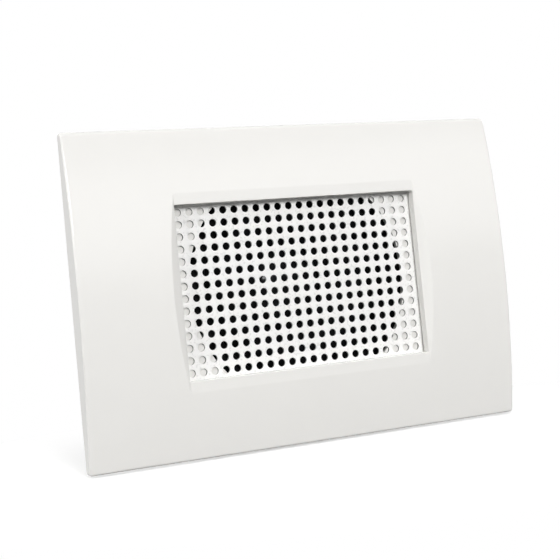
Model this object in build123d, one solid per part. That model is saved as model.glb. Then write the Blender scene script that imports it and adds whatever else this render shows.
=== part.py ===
from build123d import *
import os
from math import cos, radians, sin, sqrt

# In-wall speaker: a bowed snap-on cover plate over a frame that holds a perforated grille and a driver.
# Millimetres. X runs along the plate, Y into the wall and Z up.
# The origin is where the speaker's axis meets the wall plane.

# Cover plate
PLATE_WIDTH = 118.5
PLATE_HEIGHT = 80.0
RIM_DEPTH = 2.4  # depth of the plate at its top and bottom edges
BOW = 3.5  # how far the face stands out at mid height past those edges
PLATE_WALL = 1.8
PLATE_CORNER = 1.3
FACE_ROUND = 1.2

# Window in the cover plate, with a flat land cut into the bowed face round it
WINDOW_WIDTH = 66.7
WINDOW_HEIGHT = 42.3
WINDOW_CORNER = 0.4
LAND_SETBACK = 1.25  # from the crest of the face back to the land
LAND_SPREAD = 2.0  # how far the land's sides open out for each millimetre of depth
LIP_THICKNESS = 2.5
LIP_WIDTH = 2.0
LIP_BEVEL = 0.2
LIP_BEVEL_ANGLE = 45.0

# Snap legs of the cover plate
LEG_INSET = 7.0  # from the frame's ends
LEG_SPACING = 40.0
LEG_THICKNESS = 1.4
LEG_WIDTH = 6.0
LEG_CLEARANCE = 0.3
LATCH_REACH = 0.7
LATCH_LENGTH = 1.6
LATCH_CLEARANCE = 0.1

# Grille: round holes on a square grid, drawn with few sides
SHEET = 0.6
HOLE_PITCH = 3.0
HOLE_DIAMETER = 1.9
HOLE_SIDES = 8
GRILLE_GAP = 0.7  # from the back of the plate's lip to the grille
GRILLE_OVERLAP = 1.35  # how far the sheet reaches behind the window's edges
GRILLE_CORNER = 1.0

# Support frame
FRAME_INSET_X = 6.25  # from the plate's ends to the frame's
FRAME_INSET_Z = 7.0
FRAME_CORNER = 3.0
FLANGE_CLEARANCE = 0.25  # between the flange and the inside of the bowed face
POCKET_CLEARANCE = 0.2
GRILLE_LEDGE = 0.9  # what carries the grille along its top and bottom edges
WEB = 1.2
SPEAKER_HOLE = 60.0
PLINTH_WALL = 2.4
PLINTH_SIDE = 7.0
PLINTH_CORNER = 5.0
BOX_SCREW_SPACING = 83.5
SLOT_LENGTH = 7.0
SLOT_WIDTH = 4.2
COLLAR_WIDTH = 2.0
COLLAR_HEIGHT = 0.6
BOSS_RADIUS = 3.4
PLINTH_ROUND = 0.8
PLINTH_GAP = 1.2  # from the plinth's back to the surround

# Soft rings of the driver
GASKET_WIDTH = 1.0
GASKET_CLEARANCE = 0.1
SURROUND_SHEET = 0.4
SURROUND_LIP = 1.8
ROLL_WIDTH = 4.8
ROLL_CLEARANCE = 0.8  # between the roll and the edge of the speaker hole
ROLL_ROOM = 0.95  # between the roll's crest and the web
SPIDER_SHEET = 0.4
SPIDER_CLEARANCE = 0.6  # from the wall of the basket's cup in to the first wave
SPIDER_RISE = 2.6
SPIDER_WAVES = 3
SPIDER_WAVE_HEIGHT = 0.5
SPIDER_NECK = 1.15

# Basket of the driver
BASKET_SHEET = 0.8
BASKET_BEND = 1.0  # radius of the bends on the front side
RIM_MARGIN = 1.5  # from the gasket's edge to the basket's
EAR_OFFSET = 4.0  # from the basket's rim to the screws
EAR_RADIUS = 3.6
EAR_HOLE = 3.4
BOWL_MARGIN = 0.4  # from the roll in to the mouth of the bowl
LEDGE_DEPTH = 8.9
LEDGE_RADIUS = 22.0
LEDGE_WIDTH = 4.0
CUP_DEPTH = 4.6
CUP_TAPER = 0.8
SPOKE_HALF_ANGLE = 8.0
BAND = 1.0  # left whole above and below the basket's windows

# Moving parts of the driver
CONE_SHEET = 0.5
CONE_DEPTH = 8.5
CONE_NECK = 1.0
CAP_RADIUS = 11.5
CAP_HEIGHT = 4.0
CAP_SHEET = 0.4
FORMER_BORE = 19.0
FORMER_SHEET = 0.3
FORMER_END = 0.3  # how far the former runs past the coil
COIL_WIRE = 0.35
COIL_LENGTH = 4.0
GLUE = 0.05

# Motor
COIL_CLEARANCE = 0.3
POLE_CLEARANCE = 0.35
TOP_PLATE_DIAMETER = 42.0
TOP_PLATE = 3.0
STEEL_BEVEL = 0.4
STAKE_RADIUS = 1.2
STAKE_HEAD = 1.9
STAKE_HEAD_HEIGHT = 0.5
MAGNET_DIAMETER = 45.0
MAGNET_BORE = 24.0
MAGNET = 8.0
MAGNET_BEVEL = 0.5
YOKE_DIAMETER = 42.0
YOKE = 3.0
VENT = 5.0

# Terminals
LUG_LENGTH = 10.0
LUG_WIDTH = 6.0
BOARD = 1.2
BOARD_LENGTH = 11.0
BOARD_WIDTH = 17.0
BOARD_CORNER = 1.0
BOARD_START = 2.0  # from the driver's seat
TAG = 0.5
TAG_WIDTH = 4.0
TAG_LENGTH = 12.5
TAG_START = 2.5  # from the board's front edge
TAG_SPACING = 11.5
TAG_HOLE = 1.6
TAG_HOLE_EDGE = 1.8
TAG_CORNER = 1.6
BOARD_RIVET_EDGE = 3.0  # from the board's front edge to the rivet that holds it
RIVET_RADIUS = 1.0
RIVET_HEAD = 1.8
RIVET_HEAD_HEIGHT = 0.5
LEAD_RADIUS = 0.4
LEAD_BEND = 1.2
LEAD_RING = 15.7  # radius at which the leads reach the cone
LEAD_START = 2.7  # from the tag's back end
LEAD_OFF_TAG = ((4.2, -0.6), (7.0, -8.0))  # bends of a lead past its tag, in X and Y
LEAD_ONTO_CONE = ((-6.6, -0.2), (-2.0, 0.9))  # bends before it reaches the cone

# Driver screws
SCREW_RADIUS = 1.25
SCREW_DEPTH = 4.3
SCREW_HEAD = 2.7
SCREW_HEAD_HEIGHT = 1.7
SCREW_HEAD_BEVEL = 0.7
RECESS_LENGTH = 3.0
RECESS_WIDTH = 0.7
RECESS_DEPTH = 0.9
HOLE_CLEARANCE = 0.05

# Depths and radii that follow from these
FACE_RADIUS = (PLATE_HEIGHT**2 / 4 + BOW**2) / (2 * BOW)
CREST = -(RIM_DEPTH + BOW)
LAND = CREST + LAND_SETBACK
LIP_BACK = LAND + LIP_THICKNESS
GRILLE_FRONT = LIP_BACK + GRILLE_GAP
GRILLE_WIDTH = WINDOW_WIDTH + 2 * GRILLE_OVERLAP
GRILLE_HEIGHT = WINDOW_HEIGHT + 2 * GRILLE_OVERLAP
POCKET_FLOOR = GRILLE_FRONT + SHEET
WEB_BACK = POCKET_FLOOR + WEB
FRAME_WIDTH = PLATE_WIDTH - 2 * FRAME_INSET_X
FRAME_HEIGHT = PLATE_HEIGHT - 2 * FRAME_INSET_Z
LEG_X = FRAME_WIDTH / 2 - LEG_INSET
ROLL_OUTER = SPEAKER_HOLE / 2 - ROLL_CLEARANCE
ROLL_INNER = ROLL_OUTER - ROLL_WIDTH
SURROUND_FRONT = WEB_BACK + ROLL_ROOM + ROLL_WIDTH / 2
SEAT = SURROUND_FRONT + SURROUND_SHEET
PLINTH_BACK = SURROUND_FRONT - PLINTH_GAP
GASKET_OUTER = SPEAKER_HOLE / 2 + GASKET_WIDTH
BASKET_RADIUS = GASKET_OUTER + RIM_MARGIN
EAR_CENTRE = BASKET_RADIUS + EAR_OFFSET
EAR_ANGLES = (45, 135, 225, 315)
WINDOW_HALF_ANGLE = 180 / len(EAR_ANGLES) - SPOKE_HALF_ANGLE
LEDGE = SEAT + LEDGE_DEPTH
BASE = LEDGE + CUP_DEPTH
BASE_BACK = BASE + BASKET_SHEET
FORMER_OUTER = FORMER_BORE / 2 + FORMER_SHEET
NECK_RADIUS = FORMER_OUTER + GLUE
COIL_OUTER = NECK_RADIUS + COIL_WIRE
CONE_FRONT = SEAT + GLUE
CONE_EDGE = ROLL_INNER - SURROUND_LIP
NECK_START = CONE_FRONT + CONE_DEPTH
PLATE_BORE = COIL_OUTER + COIL_CLEARANCE
TOP_PLATE_BACK = BASE_BACK + TOP_PLATE
COIL_MIDDLE = BASE_BACK + TOP_PLATE / 2
COIL_END = COIL_MIDDLE + COIL_LENGTH / 2
MAGNET_BACK = TOP_PLATE_BACK + MAGNET
STAKE_CIRCLE = (PLATE_BORE + LEDGE_RADIUS - LEDGE_WIDTH) / 2
LUG_FACE = -(BASKET_RADIUS + BASKET_SHEET)
BOARD_FACE = LUG_FACE - BOARD
TAG_FACE = BOARD_FACE - TAG
BOARD_FRONT = SEAT + BOARD_START
TAG_FRONT = BOARD_FRONT + TAG_START
TAG_BACK = TAG_FRONT + TAG_LENGTH
BOARD_RIVET_DEPTH = BOARD_FRONT + BOARD_RIVET_EDGE
TAG_RIVET_DEPTH = TAG_FRONT + RIVET_HEAD


def face_depth(z, inset=0.0):
    """Depth of the bowed face at a height, or of the surface that lies the inset behind it."""
    return CREST + FACE_RADIUS - sqrt((FACE_RADIUS - inset) ** 2 - z**2)


FLANGE_FRONT = face_depth(FRAME_HEIGHT / 2, PLATE_WALL) + FLANGE_CLEARANCE


def prism(outline, front, back):
    """Solid from an outline drawn in X and Z, between two depths."""
    return extrude(Plane.XZ.offset(-back) * outline, amount=back - front)


def turned(outline):
    """Solid turned about the speaker axis from an outline in radius and depth."""
    return revolve(outline, Axis.Y)


def sheet_section(*lines, thickness, side=Side.RIGHT):
    """Outline of a thin sheet, from the lines of its front surface, outside first."""
    front = Curve() + list(lines)
    return make_face(offset(front, amount=thickness, side=side, kind=Kind.INTERSECTION).edges())


def ring(outer, inner, front, back):
    """Flat ring about the speaker axis."""
    return prism(Circle(outer) - Circle(inner), front, back)


def bowed_block(inset, back):
    """Block behind the bowed face, smaller by the inset on every outer side, as far as a depth."""
    half_height = PLATE_HEIGHT / 2 - inset
    edge = face_depth(half_height, inset)
    sides = Polyline((edge, half_height), (back, half_height), (back, -half_height), (edge, -half_height))
    bow = ThreePointArc((edge, -half_height), (CREST + inset, 0), (edge, half_height))
    section = make_face([*sides.edges(), *bow.edges()])
    return extrude(Plane.YZ * section, amount=PLATE_WIDTH / 2 - inset, both=True)


def land_cut():
    """Prism in front of the land, with sides that open outwards.

    It ends where the face bows behind the land.
    """
    half = WINDOW_WIDTH / 2
    reach = LAND_SETBACK + FACE_ROUND
    spread = half + LAND_SPREAD * reach
    front = LAND - reach
    outline = Polyline((-half, LAND), (half, LAND), (spread, front), (-spread, front), close=True)
    return extrude(make_face(outline.edges()), amount=PLATE_HEIGHT / 2, both=True)


def window_cut():
    """Prism through the window that widens in front, so that the lip's front edge is broken."""
    outline = RectangleRounded(WINDOW_WIDTH, WINDOW_HEIGHT, WINDOW_CORNER)
    start = Plane.XZ.offset(-(LAND + LIP_BEVEL))
    flare = extrude(start * outline, amount=2 * LIP_BEVEL, taper=-LIP_BEVEL_ANGLE)
    return prism(outline, CREST, LIP_BACK) + flare


def snap_leg():
    """Leg of the cover plate at the upper right. Its latch hooks outwards behind the frame's flange."""
    root = face_depth((LEG_SPACING + LEG_WIDTH) / 2) + PLATE_WALL / 2
    inner = LEG_X - LEG_THICKNESS / 2
    outer = LEG_X + LEG_THICKNESS / 2
    tip = LATCH_CLEARANCE + LATCH_LENGTH
    outline = Polyline(
        (inner, root),
        (outer, root),
        (outer, LATCH_CLEARANCE),
        (outer + LATCH_REACH, LATCH_CLEARANCE),
        (outer, tip),
        (inner, tip),
        close=True,
    )
    leg = extrude(make_face(outline.edges()), amount=LEG_WIDTH / 2, both=True)
    return Pos(0, 0, LEG_SPACING / 2) * leg


def make_cover_plate():
    outside = bowed_block(0, 0)
    outside = fillet(outside.edges().filter_by(Axis.Y), PLATE_CORNER)
    face = outside.faces().filter_by(GeomType.CYLINDER).sort_by(SortBy.AREA)[-1]
    outside = fillet(face.edges(), FACE_ROUND)
    lip = prism(Rectangle(WINDOW_WIDTH + 2 * LIP_WIDTH, WINDOW_HEIGHT + 2 * LIP_WIDTH), CREST, LIP_BACK)
    plate = outside - bowed_block(PLATE_WALL, PLATE_WALL) + (outside & lip)
    plate -= land_cut()
    plate -= window_cut()
    right_leg = snap_leg()
    left_leg = mirror(right_leg, Plane.YZ)
    for leg in (right_leg, left_leg):
        plate += leg
        plate += mirror(leg, Plane.XY)
    return plate


def make_grille():
    columns = int(WINDOW_WIDTH / HOLE_PITCH)
    rows = int(WINDOW_HEIGHT / HOLE_PITCH)
    hole = Rot(0, 0, 180 / HOLE_SIDES) * RegularPolygon(HOLE_DIAMETER / 2, HOLE_SIDES)
    holes = [(place * hole).wire() for place in GridLocations(HOLE_PITCH, HOLE_PITCH, columns, rows)]
    edge = RectangleRounded(GRILLE_WIDTH, GRILLE_HEIGHT, GRILLE_CORNER).wire()
    return prism(Face(edge, holes), GRILLE_FRONT, POCKET_FLOOR)


def leg_windows():
    """Slots in the flange that the snap legs pass, with room for each leg to bend inwards."""
    width = LEG_THICKNESS + LATCH_REACH + 2 * LEG_CLEARANCE
    middle = LEG_X + LEG_THICKNESS / 2 + LEG_CLEARANCE - width / 2
    slot = Rectangle(width, LEG_WIDTH + 2 * LEG_CLEARANCE)
    return [place * slot for place in GridLocations(2 * middle, LEG_SPACING, 2, 2)]


def make_support_frame():
    flange = prism(RectangleRounded(FRAME_WIDTH, FRAME_HEIGHT, FRAME_CORNER), FLANGE_FRONT, 0)
    plinth_width = SPEAKER_HOLE + 2 * PLINTH_SIDE
    plinth_height = SPEAKER_HOLE + 2 * PLINTH_WALL
    plinth = prism(RectangleRounded(plinth_width, plinth_height, PLINTH_CORNER), 0, PLINTH_BACK)
    plinth = fillet(plinth.faces().sort_by(Axis.Y)[-1].edges(), PLINTH_ROUND)
    frame = flange + plinth
    box_screws = GridLocations(BOX_SCREW_SPACING, 0, 2, 1)
    collar = SlotOverall(SLOT_LENGTH + 2 * COLLAR_WIDTH, SLOT_WIDTH + 2 * COLLAR_WIDTH)
    for place in box_screws:
        frame += prism(place * collar, FLANGE_FRONT - COLLAR_HEIGHT, 0)
    for angle in EAR_ANGLES:
        frame += prism(Rot(0, 0, angle) * Pos(EAR_CENTRE, 0) * Circle(BOSS_RADIUS), 0, SEAT)
    pocket_width = GRILLE_WIDTH + 2 * POCKET_CLEARANCE
    pocket_height = GRILLE_HEIGHT + 2 * POCKET_CLEARANCE
    pocket = RectangleRounded(pocket_width, pocket_height, GRILLE_CORNER)
    frame -= prism(pocket, FLANGE_FRONT - COLLAR_HEIGHT, POCKET_FLOOR)
    hole = Circle(SPEAKER_HOLE / 2)
    frame -= prism(hole & Rectangle(SPEAKER_HOLE, GRILLE_HEIGHT - 2 * GRILLE_LEDGE), POCKET_FLOOR, WEB_BACK)
    frame -= prism(Circle(GASKET_OUTER + GASKET_CLEARANCE), WEB_BACK, PLINTH_BACK)
    slot = SlotOverall(SLOT_LENGTH, SLOT_WIDTH)
    for place in box_screws:
        frame -= prism(place * slot, FLANGE_FRONT - COLLAR_HEIGHT, PLINTH_BACK)
    for window in leg_windows():
        frame -= prism(window, FLANGE_FRONT, PLINTH_BACK)
    for angle in EAR_ANGLES:
        pilot = Rot(0, 0, angle) * Pos(EAR_CENTRE, 0) * Circle(SCREW_RADIUS + HOLE_CLEARANCE)
        frame -= prism(pilot, SEAT - SCREW_DEPTH - HOLE_CLEARANCE, SEAT)
    return frame


def make_front_gasket():
    return ring(GASKET_OUTER, SPEAKER_HOLE / 2, WEB_BACK, SURROUND_FRONT)


def make_surround():
    outer_lip = Line((GASKET_OUTER, SURROUND_FRONT), (ROLL_OUTER, SURROUND_FRONT))
    crest = ((ROLL_OUTER + ROLL_INNER) / 2, SURROUND_FRONT - ROLL_WIDTH / 2)
    roll = ThreePointArc((ROLL_OUTER, SURROUND_FRONT), crest, (ROLL_INNER, SURROUND_FRONT))
    inner_lip = Line((ROLL_INNER, SURROUND_FRONT), (CONE_EDGE, SURROUND_FRONT))
    return turned(sheet_section(outer_lip, roll, inner_lip, thickness=SURROUND_SHEET))


def wedge(angle, half_angle):
    """Triangle that spreads from the axis about an angle, past the basket's rim."""
    reach = 2 * EAR_CENTRE
    sides = [radians(angle - half_angle), radians(angle + half_angle)]
    corners = [(reach * cos(side), reach * sin(side)) for side in sides]
    return make_face(Polyline((0, 0), *corners, close=True).edges())


def make_basket():
    mouth = ROLL_OUTER - BOWL_MARGIN
    cup = LEDGE_RADIUS - LEDGE_WIDTH
    front = FilletPolyline(
        (BASKET_RADIUS, SEAT),
        (mouth, SEAT),
        (LEDGE_RADIUS, LEDGE),
        (cup, LEDGE),
        (cup - CUP_TAPER, BASE),
        (PLATE_BORE + COIL_CLEARANCE, BASE),
        radius=BASKET_BEND,
    )
    basket = turned(sheet_section(front, thickness=BASKET_SHEET))
    seat_back = SEAT + BASKET_SHEET
    arm = EAR_CENTRE - mouth
    for angle in EAR_ANGLES:
        ear = Pos(EAR_CENTRE - arm / 2, 0) * Rectangle(arm, 2 * EAR_RADIUS)
        ear += Pos(EAR_CENTRE, 0) * Circle(EAR_RADIUS)
        ear -= Pos(EAR_CENTRE, 0) * Circle(EAR_HOLE / 2)
        basket += prism(Rot(0, 0, angle) * ear - Circle(mouth + BASKET_SHEET), SEAT, seat_back)
        basket -= prism(wedge(angle, WINDOW_HALF_ANGLE), seat_back + BAND, LEDGE - BAND)
        stake_hole = Rot(0, 0, angle) * Pos(STAKE_CIRCLE, 0) * Circle(STAKE_RADIUS + HOLE_CLEARANCE)
        basket -= prism(stake_hole, BASE, BASE_BACK)
    lug_back = LUG_FACE + BASKET_SHEET
    bridge = -mouth - lug_back
    basket += prism(Pos(LUG_FACE + bridge / 2, 0) * Rectangle(bridge, LUG_WIDTH), SEAT, seat_back)
    lug = Pos(LUG_FACE + BASKET_SHEET / 2, 0) * Rectangle(BASKET_SHEET, LUG_WIDTH)
    basket += prism(lug, SEAT, SEAT + LUG_LENGTH)
    rivet_hole = Circle(RIVET_RADIUS + HOLE_CLEARANCE)
    return basket - across(rivet_hole, BOARD_RIVET_DEPTH, 0, LUG_FACE, lug_back)


def cone_front(radius):
    """Depth of the cone's front surface at a radius."""
    return CONE_FRONT + (CONE_EDGE - radius) / (CONE_EDGE - NECK_RADIUS) * CONE_DEPTH


def make_cone():
    front = Polyline(
        (ROLL_INNER, CONE_FRONT),
        (CONE_EDGE, CONE_FRONT),
        (NECK_RADIUS, NECK_START),
        (NECK_RADIUS, NECK_START + CONE_NECK),
    )
    return turned(sheet_section(front, thickness=CONE_SHEET))


def make_dust_cap():
    edge = cone_front(CAP_RADIUS) - GLUE
    sphere = (CAP_RADIUS**2 + CAP_HEIGHT**2) / (2 * CAP_HEIGHT)
    crown = edge - CAP_HEIGHT
    half_way = (CAP_RADIUS / 2, crown + sphere - sqrt(sphere**2 - CAP_RADIUS**2 / 4))
    dome = ThreePointArc((CAP_RADIUS, edge), half_way, (0, crown))
    return turned(sheet_section(dome, thickness=CAP_SHEET, side=Side.LEFT))


def make_coil_former():
    return ring(FORMER_OUTER, FORMER_BORE / 2, NECK_START - FORMER_END, COIL_END + FORMER_END)


def make_voice_coil():
    return ring(COIL_OUTER, NECK_RADIUS, COIL_END - COIL_LENGTH, COIL_END)


def make_spider():
    front = LEDGE - SPIDER_SHEET
    outer = LEDGE_RADIUS - BASKET_BEND
    start = LEDGE_RADIUS - LEDGE_WIDTH - SPIDER_CLEARANCE
    end = NECK_RADIUS + SPIDER_NECK
    bends = 2 * SPIDER_WAVES
    points = [(outer, front), (start, front)]
    for bend in range(1, bends):
        share = bend / bends
        wave = SPIDER_WAVE_HEIGHT if bend % 2 else -SPIDER_WAVE_HEIGHT
        points.append((start + share * (end - start), front + share * SPIDER_RISE + wave))
    points += [(end, front + SPIDER_RISE), (NECK_RADIUS, front + SPIDER_RISE)]
    return turned(sheet_section(Polyline(*points), thickness=SPIDER_SHEET))


def bevelled(disc, bevel):
    """Disc or ring with its outer edges broken."""
    outer = disc.edges().filter_by(GeomType.CIRCLE).group_by(SortBy.RADIUS)[-1]
    return chamfer(outer, bevel)


def make_top_plate():
    plate = bevelled(ring(TOP_PLATE_DIAMETER / 2, PLATE_BORE, BASE_BACK, TOP_PLATE_BACK), STEEL_BEVEL)
    for angle in EAR_ANGLES:
        place = Rot(0, 0, angle) * Pos(STAKE_CIRCLE, 0)
        plate += prism(place * Circle(STAKE_RADIUS), BASE, BASE_BACK)
        plate += prism(place * Circle(STAKE_HEAD), BASE - STAKE_HEAD_HEIGHT, BASE)
    return plate


def make_magnet():
    magnet = ring(MAGNET_DIAMETER / 2, MAGNET_BORE / 2, TOP_PLATE_BACK, MAGNET_BACK)
    return bevelled(magnet, MAGNET_BEVEL)


def make_pole_yoke():
    yoke = bevelled(prism(Circle(YOKE_DIAMETER / 2), MAGNET_BACK, MAGNET_BACK + YOKE), STEEL_BEVEL)
    yoke += prism(Circle(FORMER_BORE / 2 - POLE_CLEARANCE), BASE_BACK, MAGNET_BACK)
    return yoke - prism(Circle(VENT / 2), BASE_BACK, MAGNET_BACK + YOKE)


def across(outline, depth, height, start, end):
    """Solid along X from an outline about a point of the terminals, between two places on X."""
    return extrude(Plane.YZ.offset(start) * Pos(depth, height) * outline, amount=end - start)


def make_terminal_board():
    outline = RectangleRounded(BOARD_LENGTH, BOARD_WIDTH, BOARD_CORNER)
    board = across(outline, BOARD_FRONT + BOARD_LENGTH / 2, 0, BOARD_FACE, LUG_FACE)
    hole = Circle(RIVET_RADIUS + HOLE_CLEARANCE)
    board -= across(hole, BOARD_RIVET_DEPTH, 0, BOARD_FACE, LUG_FACE)
    for height in (-TAG_SPACING / 2, TAG_SPACING / 2):
        board -= across(hole, TAG_RIVET_DEPTH, height, BOARD_FACE, LUG_FACE)
    return board


def make_tag(height):
    outline = RectangleRounded(TAG_LENGTH, TAG_WIDTH, TAG_CORNER)
    tag = across(outline, TAG_FRONT + TAG_LENGTH / 2, height, TAG_FACE, BOARD_FACE)
    tag -= across(Circle(RIVET_RADIUS + HOLE_CLEARANCE), TAG_RIVET_DEPTH, height, TAG_FACE, BOARD_FACE)
    return tag - across(Circle(TAG_HOLE / 2), TAG_BACK - TAG_HOLE_EDGE, height, TAG_FACE, BOARD_FACE)


def rivet(depth, height, outside, inside):
    """Rivet along X with a head on each side of what it joins."""
    shank = across(Circle(RIVET_RADIUS), depth, height, outside, inside)
    outer_head = across(Circle(RIVET_HEAD), depth, height, outside - RIVET_HEAD_HEIGHT, outside)
    inner_head = across(Circle(RIVET_HEAD), depth, height, inside, inside + RIVET_HEAD_HEIGHT)
    return shank + outer_head + inner_head


def make_terminal_rivet():
    return rivet(BOARD_RIVET_DEPTH, 0, BOARD_FACE, LUG_FACE + BASKET_SHEET)


def make_tag_rivets():
    heights = (-TAG_SPACING / 2, TAG_SPACING / 2)
    return Compound([rivet(TAG_RIVET_DEPTH, height, TAG_FACE, LUG_FACE).solid() for height in heights])


def make_lead(height):
    """Lead from a tag, through a window of the basket, to the back of the cone."""
    tag_end = Vector(BOARD_FACE + GLUE, TAG_BACK - LEAD_START, height)
    cone_x = -sqrt(LEAD_RING**2 - height**2)
    cone_end = Vector(cone_x, cone_front(LEAD_RING) + CONE_SHEET + 2 * LEAD_RADIUS, height)
    off_tag = [tag_end + Vector(*bend) for bend in LEAD_OFF_TAG]
    onto_cone = [cone_end + Vector(*bend) for bend in LEAD_ONTO_CONE]
    points = [tag_end, *off_tag, *onto_cone, cone_end]
    path = FilletPolyline(*points, radius=LEAD_BEND)
    return sweep(Plane(points[0], z_dir=path % 0) * Circle(LEAD_RADIUS), path)


def make_driver_screws():
    head_back = SEAT + BASKET_SHEET + SCREW_HEAD_HEIGHT
    screws = []
    for angle in EAR_ANGLES:
        place = Rot(0, 0, angle) * Pos(EAR_CENTRE, 0)
        head = prism(place * Circle(SCREW_HEAD), SEAT + BASKET_SHEET, head_back)
        head = chamfer(head.edges().sort_by(Axis.Y)[-1:], SCREW_HEAD_BEVEL)
        cross = Rectangle(RECESS_LENGTH, RECESS_WIDTH) + Rectangle(RECESS_WIDTH, RECESS_LENGTH)
        head -= prism(place * cross, head_back - RECESS_DEPTH, head_back)
        shank = prism(place * Circle(SCREW_RADIUS), SEAT - SCREW_DEPTH, SEAT + BASKET_SHEET)
        screws.append((head + shank).solid())
    return Compound(screws)


NODES = {
    "cover_plate": make_cover_plate(),
    "grille": make_grille(),
    "support_frame": make_support_frame(),
    "front_gasket": make_front_gasket(),
    "surround": make_surround(),
    "basket": make_basket(),
    "cone": make_cone(),
    "dust_cap": make_dust_cap(),
    "coil_former": make_coil_former(),
    "voice_coil": make_voice_coil(),
    "spider": make_spider(),
    "top_plate": make_top_plate(),
    "magnet": make_magnet(),
    "pole_yoke": make_pole_yoke(),
    "terminal_board": make_terminal_board(),
    "terminal_rivet": make_terminal_rivet(),
    "tag_rivets": make_tag_rivets(),
    "positive_tag": make_tag(TAG_SPACING / 2),
    "negative_tag": make_tag(-TAG_SPACING / 2),
    "positive_lead": make_lead(TAG_SPACING / 2),
    "negative_lead": make_lead(-TAG_SPACING / 2),
    "driver_screws": make_driver_screws(),
}

os.makedirs("parts", exist_ok=True)
for name, solid in NODES.items():
    export_step(solid, f"parts/{name}.step")
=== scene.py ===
"""Visible surfaces of an in-wall speaker, built round its fixed frame. Sizes are in metres."""

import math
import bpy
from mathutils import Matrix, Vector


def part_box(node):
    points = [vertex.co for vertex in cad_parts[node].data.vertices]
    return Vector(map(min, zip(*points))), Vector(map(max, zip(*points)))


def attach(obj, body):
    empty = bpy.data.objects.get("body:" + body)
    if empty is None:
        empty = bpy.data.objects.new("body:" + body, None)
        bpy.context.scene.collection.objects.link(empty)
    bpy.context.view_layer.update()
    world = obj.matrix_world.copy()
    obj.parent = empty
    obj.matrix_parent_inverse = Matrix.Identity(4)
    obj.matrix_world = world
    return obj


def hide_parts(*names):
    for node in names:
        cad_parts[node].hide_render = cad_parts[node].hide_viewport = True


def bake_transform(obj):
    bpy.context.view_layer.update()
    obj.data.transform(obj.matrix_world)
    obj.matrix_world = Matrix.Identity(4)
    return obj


bl_info = {
    "name": "In-wall speaker",
    "version": (1, 0, 0),
    "blender": (4, 5, 0),
    "location": "3D View > Sidebar > Speaker",
    "description": "Builds the plate, grille and driver of an in-wall speaker round its fixed frame",
    "category": "Object",
}

import bpy
import numpy as np
from bpy.props import FloatProperty, FloatVectorProperty, IntProperty, PointerProperty
from mathutils import Matrix

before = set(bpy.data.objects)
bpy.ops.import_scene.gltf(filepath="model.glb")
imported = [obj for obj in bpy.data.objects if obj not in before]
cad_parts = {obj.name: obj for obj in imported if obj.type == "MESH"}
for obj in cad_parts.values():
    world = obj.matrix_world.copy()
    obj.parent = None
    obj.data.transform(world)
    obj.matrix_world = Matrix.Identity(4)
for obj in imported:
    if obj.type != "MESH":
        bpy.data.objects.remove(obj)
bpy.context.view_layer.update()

MM = 0.001
PLATE_LOW, PLATE_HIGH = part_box("cover_plate")
GRILLE_LOW, GRILLE_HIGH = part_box("grille")
GASKET_LOW, GASKET_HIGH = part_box("front_gasket")
SURROUND_LOW, SURROUND_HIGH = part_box("surround")
SPIDER_LOW, SPIDER_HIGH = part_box("spider")

ROUND_STEPS = 4  # along a small rounded corner
QUARTER = np.linspace(0, math.pi / 2, 2 * ROUND_STEPS + 1)  # turns along a quarter circle
QUADRANTS = ((1, 1), (-1, 1), (-1, -1), (1, -1))  # signs of X and Z
TURN_STEPS = 128  # once round the speaker's axis
CORNER_SHARE = 0.45  # of a side, at most, that a rounded corner takes up


def number(name, description, default, **kind):
    """Setting that holds a number, with its unit or subtype."""
    return FloatProperty(name=name, description=description, default=default, **kind)


def length(name, description, millimetres):
    """Setting that holds a length. Its default is given in millimetres."""
    return number(name, description, millimetres * MM, unit="LENGTH")


def vector(name, description, default, **kind):
    """Setting that holds a colour, a place or a direction, with its unit or subtype."""
    values = {"default": default, "size": len(default)}
    return FloatVectorProperty(name=name, description=description, **values, **kind)


class PlateSettings(bpy.types.PropertyGroup):
    """Sizes and colour of the bowed cover plate."""

    bow: length("Bow", "How far the face stands out at mid height", 3.5)
    wall: length("Wall", "Thickness of the plate", 1.8)
    corner: length("Corner", "Radius of the outline's corners", 0.8)
    face_round: length("Face round", "Rounding of the face's sides and lower edge", 0.5)
    top_round: length("Top round", "Rounding of the face's upper edge", 1.2)
    rim_round: length("Rim round", "Rounding of the rim at the wall", 0.2)
    window_width: length("Window width", "Width of the window", 66.7)
    window_height: length("Window height", "Height of the window", 42.3)
    window_corner: length("Window corner", "Radius of the window's corners", 0.4)
    land_setback: length("Land setback", "From the crest back to the flat land", 1.25)
    land_spread: number("Land spread", "Run of the land's sloping sides for each unit of depth", 2.0)
    crease_soft: length("Crease softness", "Softness of the land's outer edge", 0.01)
    lip_thickness: length("Lip thickness", "Depth of the window's wall", 2.5)
    lip_width: length("Lip width", "Width of the lip behind the land", 2.0)
    lip_round: length("Lip round", "Rounding of the window's edges", 0.2)
    leg_place: vector("Leg place", "Middle of a snap leg in X and Z", (46 * MM, 20 * MM), unit="LENGTH")
    leg_thickness: length("Leg thickness", "Thickness of a snap leg", 1.4)
    leg_width: length("Leg width", "Width of a snap leg", 6)
    latch_reach: length("Latch reach", "How far a latch hooks outwards", 0.7)
    latch_front: length("Latch front", "Depth at which a latch starts", 0.1)
    colour: vector("Colour", "Glossy white of the plate", (0.868, 0.858, 0.83), subtype="COLOR")


class GrilleSettings(bpy.types.PropertyGroup):
    """Sizes and colour of the perforated sheet."""

    columns: IntProperty(name="Columns", description="Holes along X", default=22)
    rows: IntProperty(name="Rows", description="Holes along Z", default=14)
    pitch: length("Pitch", "Distance between holes", 3.0)
    hole: length("Hole", "Diameter of a hole", 1.9)
    edge_round: length("Edge round", "Softness of the paint at the edges", 0.08)
    colour: vector("Colour", "White paint of the sheet", (0.925, 0.92, 0.905), subtype="COLOR")


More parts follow.
